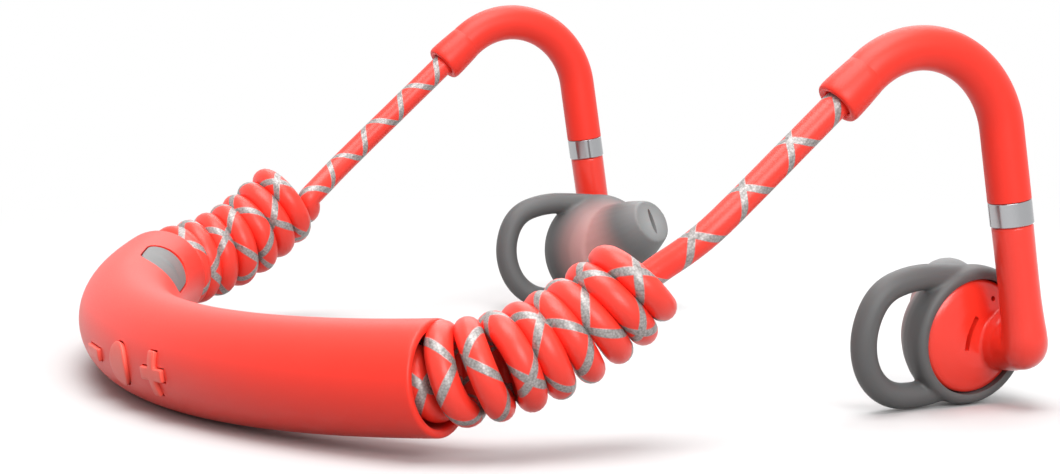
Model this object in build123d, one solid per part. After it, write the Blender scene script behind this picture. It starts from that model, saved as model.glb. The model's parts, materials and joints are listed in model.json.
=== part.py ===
from build123d import *
import os
from math import asin, cos, radians, sin, sqrt, tan

# Neckband sport earphones: a tubular neckband, two coiled cords, two ear hooks and two earbuds.
# Frame: X to the wearer's right, Y forward, Z up, origin under the middle of the neckband and hooks.
# All sizes are in millimetres.

# ---- neckband ----
NECK_DIAMETER = 14.5        # outer silicone tube
NECK_RADIUS = 96.9          # curve of the tube's centre line, seen from above
NECK_HALF_ANGLE = 35.4      # degrees from the middle of the back to each end
NECK_TILT = 8.15            # degrees, the ends stand higher than the back
SLEEVE_BORE = 12.2
CHASSIS_OUTER = 12.1
CHASSIS_BORE = 10.1
RECESS_DEPTH = 6.0          # socket at each end, where the coil's first turn sits
PLUG_THICKNESS = 2.0
OVERALL_DEPTH = 111.2       # back of the buttons to the front of the ear adapters

# ---- buttons, on the outside of the neckband's back ----
BUTTON_ANGLES = {"button_plus": 9.0, "button_play": 2.8, "button_minus": -3.6}
BUTTON_SIZE = 6.0
BUTTON_BAR = 1.7
BUTTON_PROUD = 0.55
BUTTON_TRAVEL = 0.4
BUTTON_GAP = 0.15
STEM_DIAMETER = 1.6

# ---- charging port and its cover, on the inner upper side near the left end ----
PORT_ANGLE = -25.5
PORT_RISE = 37.0            # degrees above the inward direction
COVER_LENGTH = 14.0
COVER_WIDTH = 8.6
COVER_GAP = 0.2

# ---- electronics ----
BATTERY_ANGLE = -14.8
BATTERY_DIAMETER = 8.0
BATTERY_LENGTH = 24.0
BOARD_ANGLE = 2.8
BOARD_LENGTH = 26.0
BOARD_HEIGHT = 6.6
BOARD_THICKNESS = 0.8
BOARD_OFFSET = 1.2          # inner face of the board, outward from the tube's centre line
SWITCH_HEIGHT = 1.3
SCREW_ANGLES = (-29.4, -6.4, 13.2, 27.5)

# ---- cords ----
CORD_DIAMETER = 3.4
COIL_DIAMETER = 13.4
COIL_TAIL_DIAMETER = 11.4   # first turn, inside the neckband's end

# ---- ear hook, in a vertical plane that runs fore and aft ----
HOOK_X = 62.4
HOOK_DIAMETER = 5.9
LIP_DIAMETER = 6.4
HOOK_ARC_RADIUS = 12.4
HOOK_ARC_CENTRE = (81.6, 35.5)      # forward from the neckband's back centre line, up
HOOK_REAR_ANGLE = 130.0             # degrees where the arc meets the rear run
HOOK_FRONT_ANGLE = 8.0              # degrees where the arc meets the front run
HOOK_REAR_RUN = 6.0
SLEEVE_FRONT_RUN = 9.4
COLLAR_LENGTH = 3.3
COLLAR_DIAMETER = 5.75
STEM_TUBE_DIAMETER = 5.3
STEM_BEND = 3.6
CORE_DIAMETER = 3.4
WIRE_DIAMETER = 1.1

# ---- earbud ----
BUD_CENTRE = (57.5, 94.2, 9.2)     # middle of the outer disc, forward from the neckband's back
BUD_YAW = 5.0               # degrees, the disc faces a little forward
BUD_PITCH = 6.0             # degrees, and a little down
DISC_RADIUS = 7.7
RING_RADIUS = 9.4
CUP_RADIUS = 7.35
WALL = 0.9
NOZZLE_DIRECTION = (0.42, 0.36, -0.83)   # forward, up, outboard in the bud's own frame
NOZZLE_LENGTH = 12.4
NOZZLE_RADIUS = 3.3
FIN_TUBE = 3.5
FIN_LEVEL = -3.2            # the fin loop's middle, inboard of the disc

NECK_BACK_Y = -OVERALL_DEPTH / 2 + BUTTON_PROUD + NECK_DIAMETER / 2
NECK_RISE_Z = NECK_DIAMETER / 2

NECK = Plane(
    origin=(0, NECK_BACK_Y, NECK_RISE_Z),
    x_dir=(1, 0, 0),
    z_dir=(0, -sin(radians(NECK_TILT)), cos(radians(NECK_TILT))),
)
NECK_AXIS = Axis((0, NECK_RADIUS, 0), (0, 0, 1))


def forward(x, y, z):
    """A point given forward from the neckband's back centre line, in the part's frame."""
    return Vector(x, y + NECK_BACK_Y, z)


def neck_place(angle):
    """The tube's cross-section at an angle along the neckband: x outward, y down, z along it."""
    turn = radians(angle)
    return Plane(
        origin=(NECK_RADIUS * sin(turn), NECK_RADIUS * (1 - cos(turn)), 0),
        x_dir=(sin(turn), -cos(turn), 0),
        z_dir=(cos(turn), sin(turn), 0),
    )


def facing_out(angle, rise=0.0):
    """A plane at the tube's centre with z along a radius, rise degrees from outward; x along the tube."""
    place = neck_place(angle)
    up = Vector(0, 0, 1)
    outward = place.x_dir * cos(radians(rise)) + up * sin(radians(rise))
    return Plane(origin=place.origin, x_dir=place.z_dir, z_dir=outward)


def neck_bar(diameter, start, end):
    """A solid stretch of the curved tube between two angles."""
    section = neck_place(start) * Circle(diameter / 2)
    return revolve(section, NECK_AXIS, end - start)


def neck_tube(outer, inner, start, end):
    return neck_bar(outer, start, end) - neck_bar(inner, start - 1, end + 1)


def tube_along(path, diameter):
    """A round bar swept along a wire."""
    start = Plane(origin=path @ 0, z_dir=path % 0)
    return sweep(start * Circle(diameter / 2), path=path)


def cord_path(points):
    """Straight runs joined by tangent arcs as large as the runs allow; prints the radii."""
    points = [Vector(*p) for p in points]
    radii = []
    for before, corner, after in zip(points, points[1:], points[2:]):
        arriving = corner - before
        leaving = after - corner
        shorter = min(arriving.length, leaving.length)
        radii.append(0.45 * shorter / tan(radians(arriving.get_angle(leaving)) / 2))
    print("  arc radii", [round(r, 1) for r in radii])
    return FilletPolyline(*points, radius=radii)


# ---------------------------------------------------------------- neckband casing
nodes = {}
recess_angle = NECK_HALF_ANGLE - RECESS_DEPTH / NECK_RADIUS * 57.2958
plug_angle = recess_angle - PLUG_THICKNESS / NECK_RADIUS * 57.2958


def button_outline(name, grow=0.0):
    """The raised sign of a button: a plus, a round one or a minus."""
    size = BUTTON_SIZE + 2 * grow
    bar = BUTTON_BAR + 2 * grow
    if name == "button_play":
        return Circle(size / 2)
    sign = RectangleRounded(size, bar, bar * 0.3)
    if name == "button_plus":
        sign = sign + RectangleRounded(bar, size, bar * 0.3)
    return sign


def cover_outline(grow=0.0):
    return SlotOverall(COVER_LENGTH + 2 * grow, COVER_WIDTH + 2 * grow)


def radial_cut(angle, rise, outline, low, high):
    """A prism along a radius of the tube, from one distance off the centre line to another."""
    return extrude(facing_out(angle, rise).offset(low) * outline, high - low)


port_rise = 180.0 - PORT_RISE
outside = NECK_DIAMETER / 2 + 2
LIGHT_ANGLE = 14.8
MIC_ANGLE = 18.0

sleeve = neck_tube(NECK_DIAMETER, SLEEVE_BORE, -NECK_HALF_ANGLE, NECK_HALF_ANGLE)
for name, angle in BUTTON_ANGLES.items():
    sleeve -= radial_cut(angle, 0, button_outline(name, BUTTON_GAP), 5.5, outside)
sleeve -= radial_cut(PORT_ANGLE, port_rise, cover_outline(COVER_GAP), 5.0, outside)
sleeve -= radial_cut(LIGHT_ANGLE, 0, Circle(0.7), 5.5, outside)
sleeve -= radial_cut(MIC_ANGLE, 0, Circle(0.5), 5.5, outside)
nodes["neckband_sleeve"] = sleeve

shell = neck_tube(CHASSIS_OUTER, CHASSIS_BORE, -plug_angle, plug_angle)
for angle in SCREW_ANGLES:
    boss = extrude(Plane(neck_place(angle).origin).offset(-5.4) * Circle(1.7), 10.8)
    shell += boss
for name, angle in BUTTON_ANGLES.items():
    shell -= radial_cut(angle, 0, Circle(STEM_DIAMETER / 2 + 0.25), 2.5, outside)
shell -= radial_cut(PORT_ANGLE, port_rise, RectangleRounded(8.2, 3.4, 0.8), 1.0, outside)
shell -= radial_cut(LIGHT_ANGLE, 0, Circle(0.6), 4.0, outside)
shell -= radial_cut(MIC_ANGLE, 0, Circle(0.4), 4.0, outside)
for angle in SCREW_ANGLES:
    middle = Plane(neck_place(angle).origin)
    shell -= extrude(middle.offset(-8) * Circle(0.65), 12.5)
    shell -= extrude(middle.offset(-8) * Circle(1.3), 3.0)
half_space = Box(240, 240, 20, align=(Align.CENTER, Align.CENTER, Align.MIN))
nodes["chassis_upper"] = shell & half_space
nodes["chassis_lower"] = shell & half_space.mirror(Plane.XY)

screws = []
for angle in SCREW_ANGLES:
    middle = Plane(neck_place(angle).origin)
    shank = extrude(middle.offset(-5.1) * Circle(0.6), 8.75)
    head = extrude(middle.offset(-5.75) * Circle(1.2), 0.7)
    recess = extrude(middle.offset(-5.8) * Rectangle(1.4, 0.3), 0.4)
    screws.append(shank + head - recess)
nodes["chassis_screws"] = screws

for side, sign in (("right", 1), ("left", -1)):
    ends = sorted((sign * plug_angle, sign * recess_angle))
    plug = neck_bar(CHASSIS_OUTER, *ends) - neck_bar(1.6, ends[0] - 1, ends[1] + 1)
    nodes["end_plug_" + side] = plug

# ---------------------------------------------------------------- buttons, port, electronics
board_plane = facing_out(BOARD_ANGLE)
switch_face = BOARD_OFFSET + BOARD_THICKNESS + SWITCH_HEIGHT
board = extrude(board_plane.offset(BOARD_OFFSET) * Rectangle(BOARD_LENGTH, BOARD_HEIGHT), BOARD_THICKNESS)
switches = []
for name, angle in BUTTON_ANGLES.items():
    along = (NECK_RADIUS + switch_face) * tan(radians(angle - BOARD_ANGLE))
    spot = board_plane.offset(BOARD_OFFSET + BOARD_THICKNESS) * Pos(along, 0)
    body = extrude(spot * Rectangle(3.2, 3.2), SWITCH_HEIGHT - 0.4)
    plunger = extrude(spot * Circle(0.8), SWITCH_HEIGHT)
    switches.append(body + plunger)
    # The cap follows the tube's surface, stands a little proud of it and has a stem to its switch.
    stem_end = (NECK_RADIUS + switch_face) / cos(radians(angle - BOARD_ANGLE)) - NECK_RADIUS
    stem_end += BUTTON_TRAVEL + 0.05
    cap = radial_cut(angle, 0, button_outline(name), 6.55, outside)
    cap &= neck_bar(NECK_DIAMETER + 2 * BUTTON_PROUD, angle - 5, angle + 5)
    stem = radial_cut(angle, 0, Circle(STEM_DIAMETER / 2), stem_end, 6.7)
    nodes[name] = cap + stem
nodes["main_board"] = board
nodes["tact_switches"] = switches
nodes["radio_module"] = extrude(board_plane.offset(BOARD_OFFSET) * Pos(6, 0) * Rectangle(9, 5), -1.4)

battery_plane = neck_place(BATTERY_ANGLE)
battery = extrude(battery_plane * Circle(BATTERY_DIAMETER / 2), BATTERY_LENGTH / 2, both=True)
nodes["battery_cell"] = fillet(battery.edges().filter_by(GeomType.CIRCLE), 0.6)

port = radial_cut(PORT_ANGLE, port_rise, RectangleRounded(7.6, 2.8, 0.7), 1.2, 5.9)
port -= radial_cut(PORT_ANGLE, port_rise, RectangleRounded(6.8, 2.0, 0.5), 2.4, 6.5)
port += radial_cut(PORT_ANGLE, port_rise, Rectangle(3.6, 0.5), 2.2, 5.2)
nodes["charge_port"] = port

cover = radial_cut(PORT_ANGLE, port_rise, cover_outline(), 5.0, outside)
cover &= neck_tube(NECK_DIAMETER, SLEEVE_BORE + 0.1, PORT_ANGLE - 8, PORT_ANGLE + 8)
nodes["port_cover"] = cover

nodes["status_light"] = radial_cut(LIGHT_ANGLE, 0, Circle(0.5), 2.4, NECK_DIAMETER / 2 - 0.05)
nodes["microphone"] = radial_cut(MIC_ANGLE, 0, Rectangle(2.6, 2.0), 3.3, 4.4)

neck_parts = {name: shape for name, shape in nodes.items()}
nodes = {}
for name, shape in neck_parts.items():
    pieces = shape if isinstance(shape, list) else [shape]
    moved = [piece.moved(NECK.location) for piece in pieces]
    nodes[name] = moved if len(moved) > 1 else moved[0]

# ---------------------------------------------------------------- coiled cord, right side
end_angle = radians(NECK_HALF_ANGLE)
end_centre = NECK.from_local_coords(Vector(NECK_RADIUS * sin(end_angle), NECK_RADIUS * (1 - cos(end_angle)), 0))
end_direction = (NECK.from_local_coords(Vector(cos(end_angle), sin(end_angle), 0)) - NECK.origin).normalized()
coil_mouth = end_centre - end_direction * (RECESS_DEPTH - 0.05)
coil_bend = end_centre + end_direction * 3.0
coil_rise = forward(60.2, 31.5, 13.4)
coil_split = coil_bend + (coil_rise - coil_bend) * 0.55
coil_top = forward(61.2, 37.6, 17.4)
coil_end = forward(61.9, 42.3, 21.2)

# ---------------------------------------------------------------- ear hook, right side
def on_hook(angle):
    """A point of the hook's arc, by its angle about the arc's centre, and the way down the hook there."""
    y = HOOK_ARC_CENTRE[0] + HOOK_ARC_RADIUS * cos(radians(angle))
    z = HOOK_ARC_CENTRE[1] + HOOK_ARC_RADIUS * sin(radians(angle))
    return forward(HOOK_X, y, z), Vector(0, sin(radians(angle)), -cos(radians(angle)))


rear_point, rear_way = on_hook(HOOK_REAR_ANGLE)
top_point, _ = on_hook((HOOK_REAR_ANGLE + HOOK_FRONT_ANGLE) / 2)
front_point, front_way = on_hook(HOOK_FRONT_ANGLE)
mouth = rear_point - rear_way * HOOK_REAR_RUN
sleeve_end = front_point + front_way * SLEEVE_FRONT_RUN
collar_end = sleeve_end + front_way * COLLAR_LENGTH
elbow = front_point + front_way * 28.9
cord_stop = mouth + rear_way * 4.5


def hook_wire_path(start, end):
    return Wire([
        Edge.make_line(start, rear_point),
        Edge.make_three_point_arc(rear_point, top_point, front_point),
        Edge.make_line(front_point, end),
    ])


def straight(start, end, diameter):
    return tube_along(Wire([Edge.make_line(start, end)]), diameter)


arm = {}
print("coil, right:")
arm["coil_inner"] = tube_along(cord_path([coil_mouth, coil_bend, coil_split]), COIL_TAIL_DIAMETER)
arm["coil_outer"] = tube_along(cord_path([coil_split, coil_rise, coil_top, coil_end]), COIL_DIAMETER)
# The cord leaves the coil under its axis, on the way to the hook's mouth.
coil_way = (coil_end - coil_top).normalized()
cord_start = coil_end + Vector(0.1, 1.39, -1.69)
cord_way = (cord_stop - cord_start).normalized()
cord_start += cord_way * 0.15
arm["straight_cord"] = straight(cord_start, cord_stop - rear_way * 0.06, CORD_DIAMETER)

path = hook_wire_path(mouth, sleeve_end)
lip = straight(mouth, mouth + rear_way * 1.6, LIP_DIAMETER)
lip = fillet(lip.edges().filter_by(GeomType.CIRCLE), 0.5)
hook = tube_along(path, HOOK_DIAMETER) + lip
hook -= tube_along(path, CORE_DIAMETER + 0.2)
hook -= straight(mouth - rear_way, mouth + rear_way * 0.9, CORD_DIAMETER + 1.3)
arm["hook_sleeve"] = hook

core_end = collar_end + front_way * 7.0
core_path = hook_wire_path(cord_stop, core_end)
arm["hook_core"] = tube_along(core_path, CORE_DIAMETER) - tube_along(core_path, WIRE_DIAMETER + 0.1)
arm["hook_spring_wire"] = tube_along(core_path, WIRE_DIAMETER)
band = straight(sleeve_end, collar_end, COLLAR_DIAMETER)
arm["ring_collar"] = band - straight(sleeve_end - front_way, collar_end + front_way, CORE_DIAMETER + 0.2)

# ---------------------------------------------------------------- earbud, right side
yaw, pitch = radians(BUD_YAW), radians(BUD_PITCH)
BUD = Plane(
    origin=forward(*BUD_CENTRE),
    x_dir=(-sin(yaw), cos(yaw), 0),
    z_dir=(cos(yaw) * cos(pitch), sin(yaw) * cos(pitch), -sin(pitch)),
)


def turned(*points):
    """A solid turned about the bud's axis from a closed outline of (radius, outboard) points."""
    outline = Plane.XZ * Polygon(*points, align=None)
    return revolve(outline, Axis.Z)


def domed(radius, height, top):
    """A spherical cap of a given radius and height whose top lies at top."""
    ball = (radius ** 2 + height ** 2) / (2 * height)
    return Pos(0, 0, top - ball) * Sphere(ball)


disc = extrude(Plane.XY.offset(-3.2) * Circle(DISC_RADIUS), 3.2) & domed(DISC_RADIUS, 1.1, 0.0)
disc -= extrude(Plane.XY.offset(-3.4) * Circle(CUP_RADIUS - 0.25), 2.2) & domed(DISC_RADIUS, 1.1, -WALL)
sound_slot = Pos(3.4, 0.6) * (Circle(5.5) - Circle(4.9))
sound_slot &= Pos(-1.6, 0.8) * Rectangle(2.6, 4.8)
disc -= extrude(Plane.XY.offset(-2.4) * sound_slot, 4)
disc -= extrude(Plane.XY.offset(-2.4) * Pos(2.2, 5.1) * Circle(0.35), 4)
stem_path = FilletPolyline(collar_end, elbow, BUD.origin - BUD.z_dir * 0.9, radius=STEM_BEND)
stem = tube_along(stem_path, STEM_TUBE_DIAMETER)
back_cup = disc.moved(BUD.location) + stem
back_cup -= straight(collar_end - front_way, core_end + front_way * 0.05, CORE_DIAMETER + 0.2)
arm["bud_back_cup"] = back_cup

nozzle_way = Vector(*NOZZLE_DIRECTION).normalized()
nozzle_root = Vector(0, 0, -4.2)


def nozzle_bar(radius, start, end):
    plane = Plane(origin=nozzle_root + nozzle_way * start, z_dir=nozzle_way)
    return extrude(plane * Circle(radius), end - start)


def cup_solid(radius, front, depth):
    """The bud's inboard half: a short barrel that closes in a dome."""
    barrel = extrude(Plane.XY.offset(-front) * Circle(radius), -(depth - front))
    return barrel & domed(radius + 2.2, depth - 3.0, 0.0).rotate(Axis.X, 180).moved(Pos(0, 0, -depth))


cup = cup_solid(CUP_RADIUS, 3.3, 9.2) + nozzle_bar(NOZZLE_RADIUS - 0.9, 2.5, NOZZLE_LENGTH - 0.8)
cup -= cup_solid(CUP_RADIUS - WALL, 3.2, 8.4)
cup -= nozzle_bar(NOZZLE_RADIUS - 1.7, 0, NOZZLE_LENGTH + 1)
arm["bud_front_cup"] = cup.moved(BUD.location)

arm["driver_frame"] = turned((4.0, -3.5), (6.3, -3.5), (6.3, -5.2), (5.6, -5.2), (5.6, -4.2), (4.0, -4.2))
arm["driver_magnet"] = turned((0, -2.6), (3.0, -2.6), (3.0, -4.1), (0, -4.1))
arm["voice_coil"] = turned((3.2, -3.7), (3.6, -3.7), (3.6, -4.75), (3.2, -4.75))
arm["diaphragm"] = turned((0, -4.9), (5.4, -4.9), (5.4, -5.05), (0, -5.05))
for name in ("driver_frame", "driver_magnet", "voice_coil", "diaphragm"):
    arm[name] = arm[name].moved(BUD.location)
arm["nozzle_mesh"] = nozzle_bar(NOZZLE_RADIUS - 1.8, NOZZLE_LENGTH - 1.4, NOZZLE_LENGTH - 1.1).moved(BUD.location)

# Silicone ear adapter: a ring round the disc, a dome over the cup, a nozzle cover and a fin loop.
ring_points = [(0, -0.9), (DISC_RADIUS + 0.15, -0.9), (8.6, -0.5), (9.15, -0.9), (RING_RADIUS, -1.7),
               (RING_RADIUS, -3.4), (8.9, -4.9), (8.1, -6.4), (0, -6.4)]
fin_points = [(-3.0, 7.7), (-9.7, 7.6), (-14.6, 4.7), (-16.1, -0.6), (-14.2, -5.3), (-9.2, -7.2), (-3.0, -7.1)]
fin_line = Spline(*[(x, y, FIN_LEVEL) for x, y in fin_points])
adapter = turned(*ring_points) + tube_along(fin_line, FIN_TUBE)
adapter += cup_solid(CUP_RADIUS + 0.75, 5.2, 10.0) + nozzle_bar(NOZZLE_RADIUS, 2, NOZZLE_LENGTH)
adapter -= cup_solid(CUP_RADIUS + 0.1, 3.0, 9.3)
adapter -= nozzle_bar(NOZZLE_RADIUS - 0.8, 0, NOZZLE_LENGTH + 1)
adapter -= extrude(Plane.XY.offset(-3.3) * Circle(DISC_RADIUS + 0.15), 5)
arm["ear_adapter"] = adapter.moved(BUD.location)

for name, shape in arm.items():
    nodes[name + "_right"] = shape
    nodes[name + "_left"] = shape.mirror(Plane.YZ)

# ---------------------------------------------------------------- files
os.makedirs("parts", exist_ok=True)
for name, shape in nodes.items():
    solid = Compound(children=list(shape)) if isinstance(shape, list) else shape
    export_step(solid, f"parts/{name}.step")
print(len(nodes), "nodes")
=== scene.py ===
"""Neckband sport earphones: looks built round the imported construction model."""

import json
import logging
from dataclasses import dataclass, field
from enum import Enum
from math import atan2, ceil, cos, hypot, pi, radians, sin, sqrt, tan

import bpy
from mathutils import Matrix, Vector


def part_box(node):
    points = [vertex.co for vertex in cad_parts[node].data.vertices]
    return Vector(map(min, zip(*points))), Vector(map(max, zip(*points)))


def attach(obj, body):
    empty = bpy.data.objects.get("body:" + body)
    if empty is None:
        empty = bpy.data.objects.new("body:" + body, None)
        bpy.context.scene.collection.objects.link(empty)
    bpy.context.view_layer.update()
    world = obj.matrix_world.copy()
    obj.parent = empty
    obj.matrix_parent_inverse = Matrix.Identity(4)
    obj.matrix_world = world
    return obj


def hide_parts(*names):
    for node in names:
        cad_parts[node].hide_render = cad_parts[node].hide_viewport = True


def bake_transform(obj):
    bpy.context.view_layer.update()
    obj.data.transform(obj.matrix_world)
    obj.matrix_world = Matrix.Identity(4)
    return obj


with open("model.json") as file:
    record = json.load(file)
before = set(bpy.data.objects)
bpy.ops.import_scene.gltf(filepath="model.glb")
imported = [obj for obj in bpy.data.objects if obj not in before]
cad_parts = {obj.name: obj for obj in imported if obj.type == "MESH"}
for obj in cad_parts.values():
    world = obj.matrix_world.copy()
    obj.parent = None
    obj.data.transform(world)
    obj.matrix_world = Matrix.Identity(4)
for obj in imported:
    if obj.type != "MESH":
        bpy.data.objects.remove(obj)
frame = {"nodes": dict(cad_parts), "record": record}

log = logging.getLogger("earphones")
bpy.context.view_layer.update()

MM = 0.001
Point = tuple[float, float, float]


class Side(Enum):
    """The wearer's side that a piece is on, with its sign along X."""

    RIGHT = ("right", 1.0)
    LEFT = ("left", -1.0)

    @property
    def label(self) -> str:
        """The side's word in names."""
        return self.value[0]

    @property
    def sign(self) -> float:
        """+1 on the wearer's right, -1 on the left."""
        return self.value[1]


# ---------------------------------------------------------------- colours and nodes
def linear(colour: str) -> tuple[float, float, float, float]:
    """Turns an sRGB hex colour into linear red, green, blue and alpha.

    Args:
        colour: Six hex digits after a hash sign.

    Returns:
        The linear colour, opaque.
    """
    parts = [int(colour[i:i + 2], 16) / 255 for i in (1, 3, 5)]
    curve = [c / 12.92 if c <= 0.04045 else ((c + 0.055) / 1.055) ** 2.4 for c in parts]
    return (curve[0], curve[1], curve[2], 1.0)


def add_node(tree: bpy.types.NodeTree, kind: str, inputs: dict | None = None, **settings) -> bpy.types.Node:
    """Adds a node to a material with its settings, values and links.

    Args:
        tree: The material's node tree.
        kind: The node's type name.
        inputs: Socket name or number to a value, or to the output socket that feeds it.
        settings: Attributes of the node.

    Returns:
        The new node.
    """
    node = tree.nodes.new(kind)
    for name, value in settings.items():
        setattr(node, name, value)
    for name, value in (inputs or {}).items():
        if isinstance(value, bpy.types.NodeSocket):
            tree.links.new(value, node.inputs[name])
        else:
            node.inputs[name].default_value = value
    return node


def fresh_material(name: str) -> tuple[bpy.types.Material, bpy.types.NodeTree, bpy.types.Node]:
    """Starts a node material that holds one Principled shader, already joined to its output."""
    material = bpy.data.materials.new(name)
    material.use_nodes = True
    tree = material.node_tree
    tree.nodes.clear()
    shader = add_node(tree, "ShaderNodeBsdfPrincipled")
    output = add_node(tree, "ShaderNodeOutputMaterial")
    tree.links.new(shader.outputs["BSDF"], output.inputs["Surface"])
    return material, tree, shader


def add_bump(tree: bpy.types.NodeTree, shader: bpy.types.Node, height: bpy.types.NodeSocket,
             depth: float, strength: float) -> None:
    """Feeds a height into a shader's normal as bump, depth in metres."""
    bump = add_node(tree, "ShaderNodeBump", {"Height": height, "Distance": depth, "Strength": strength})
    tree.links.new(bump.outputs["Normal"], shader.inputs["Normal"])


@dataclass(frozen=True)
class MouldedFinish:
    """A moulded rubber or plastic: one colour, a faint mottle and a fine skin grain.

    The grain scatters the highlight, so the surface looks soft; a coat gives the glossier plastic its sheen.
    """

    name: str
    colour: str
    deep: str
    roughness: float
    grain_mm: float = 0.22
    grain_depth_mm: float = 0.012
    coat: float = 0.0
    glow: float = 0.0
    bloom: float = 0.0
    shine: float = 0.38

    def material(self) -> bpy.types.Material:
        """Builds the material."""
        material, tree, shader = fresh_material(self.name)
        place = add_node(tree, "ShaderNodeTexCoord").outputs["Object"]
        mottle = add_node(tree, "ShaderNodeTexNoise", {"Vector": place, "Scale": 1 / (9 * MM), "Detail": 3.0})
        grain = add_node(tree, "ShaderNodeTexNoise",
                         {"Vector": place, "Scale": 1 / (self.grain_mm * MM), "Detail": 2.0})
        colour = add_node(tree, "ShaderNodeMix", {0: mottle.outputs["Fac"], 6: linear(self.deep),
                                                  7: linear(self.colour)}, data_type="RGBA")
        tree.links.new(colour.outputs[2], shader.inputs["Base Color"])
        rough = add_node(tree, "ShaderNodeMapRange", {"Value": grain.outputs["Fac"],
                                                      "To Min": self.roughness - 0.05,
                                                      "To Max": self.roughness + 0.05})
        tree.links.new(rough.outputs["Result"], shader.inputs["Roughness"])
        shader.inputs["Specular IOR Level"].default_value = self.shine
        shader.inputs["Coat Weight"].default_value = self.coat
        shader.inputs["Coat Roughness"].default_value = 0.18
        shader.inputs["Sheen Weight"].default_value = self.bloom
        shader.inputs["Sheen Roughness"].default_value = 0.45
        shader.inputs["Subsurface Weight"].default_value = self.glow
        shader.inputs["Subsurface Radius"].default_value = (1.0, 0.35, 0.25)
        shader.inputs["Subsurface Scale"].default_value = 1.2 * MM
        add_bump(tree, shader, grain.outputs["Fac"], self.grain_depth_mm * MM, 0.6)
        return material


@dataclass(frozen=True)
class CordFinish:
    """A rubbery cord with two reflective silver stripes that wind opposite ways and cross.

    The stripes are woven, so they carry a fine grain and stand a hair proud of the rubber.
    """

    name: str = "striped_rubber_cord"
    rubber: str = "#FA3E2F"
    stripe: str = "#B9B4B2"
    thread: str = "#77726F"
    pitch_mm: float = 8.6
    stripe_share: float = 0.14
    thread_mm: float = 0.3

    def _band(self, tree: bpy.types.NodeTree, along: bpy.types.NodeSocket, around: bpy.types.NodeSocket,
              operation: str, shift: float) -> bpy.types.NodeSocket:
        """A soft-edged stripe whose turns climb one way or the other."""
        mix = add_node(tree, "ShaderNodeMath", {0: along, 1: around}, operation=operation)
        moved = add_node(tree, "ShaderNodeMath", {0: mix.outputs[0], 1: shift}, operation="ADD")
        turn = add_node(tree, "ShaderNodeMath", {0: moved.outputs[0], 1: 0.5}, operation="PINGPONG")
        edge = self.stripe_share / 2
        band = add_node(tree, "ShaderNodeMapRange", {"Value": turn.outputs[0], "From Min": edge - 0.008,
                                                     "From Max": edge + 0.008, "To Min": 1.0, "To Max": 0.0})
        return band.outputs["Result"]

    def material(self) -> bpy.types.Material:
        """Builds the material; it reads the cord's own map: turns of stripe along, one turn around."""
        material, tree, shader = fresh_material(self.name)
        uv = add_node(tree, "ShaderNodeUVMap", uv_map="cord")
        parts = add_node(tree, "ShaderNodeSeparateXYZ", {0: uv.outputs["UV"]})
        place = add_node(tree, "ShaderNodeTexCoord").outputs["Object"]
        one = self._band(tree, parts.outputs["X"], parts.outputs["Y"], "ADD", 0.0)
        other = self._band(tree, parts.outputs["X"], parts.outputs["Y"], "SUBTRACT", 0.25)
        stripe = add_node(tree, "ShaderNodeMath", {0: one, 1: other}, operation="MAXIMUM")
        weave = add_node(tree, "ShaderNodeTexVoronoi", {"Vector": place, "Scale": 1 / (self.thread_mm * MM)})
        woven = add_node(tree, "ShaderNodeMix", {0: weave.outputs["Distance"], 6: linear(self.stripe),
                                                 7: linear(self.thread)}, data_type="RGBA")
        colour = add_node(tree, "ShaderNodeMix", {0: stripe.outputs[0], 6: linear(self.rubber),
                                                  7: woven.outputs[2]}, data_type="RGBA")
        tree.links.new(colour.outputs[2], shader.inputs["Base Color"])
        rough = add_node(tree, "ShaderNodeMapRange", {"Value": stripe.outputs[0], "To Min": 0.38, "To Max": 0.42})
        tree.links.new(rough.outputs["Result"], shader.inputs["Roughness"])
        metal = add_node(tree, "ShaderNodeMath", {0: stripe.outputs[0], 1: 0.35}, operation="MULTIPLY")
        tree.links.new(metal.outputs[0], shader.inputs["Metallic"])
        relief = add_node(tree, "ShaderNodeMath", {0: weave.outputs["Distance"], 1: 0.35}, operation="MULTIPLY")
        raised = add_node(tree, "ShaderNodeMath", {0: relief.outputs[0], 1: 1.0, 2: 0.0}, operation="MULTIPLY_ADD")
        height = add_node(tree, "ShaderNodeMath", {0: raised.outputs[0], 1: stripe.outputs[0]}, operation="ADD")
        add_bump(tree, shader, height.outputs[0], 0.06 * MM, 0.5)
        return material


@dataclass(frozen=True)
class MetalFinish:
    """Polished or drawn metal; fine lines round the piece stretch its highlights."""

    name: str
    colour: str
    roughness: float
    line_mm: float = 0.12

    def material(self) -> bpy.types.Material:
        """Builds the material."""
        material, tree, shader = fresh_material(self.name)
        place = add_node(tree, "ShaderNodeTexCoord").outputs["Object"]
        stretch = add_node(tree, "ShaderNodeMapping", {"Vector": place, "Scale": (0.12, 0.12, 1.0)})
        lines = add_node(tree, "ShaderNodeTexNoise", {"Vector": stretch.outputs["Vector"],
                                                      "Scale": 1 / (self.line_mm * MM)})
        rough = add_node(tree, "ShaderNodeMapRange", {"Value": lines.outputs["Fac"], "To Min": self.roughness,
                                                      "To Max": self.roughness + 0.08})
        tree.links.new(rough.outputs["Result"], shader.inputs["Roughness"])
        shader.inputs["Base Color"].default_value = linear(self.colour)
        shader.inputs["Metallic"].default_value = 1.0
        add_bump(tree, shader, lines.outputs["Fac"], 0.004 * MM, 0.4)
        return material


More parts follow.
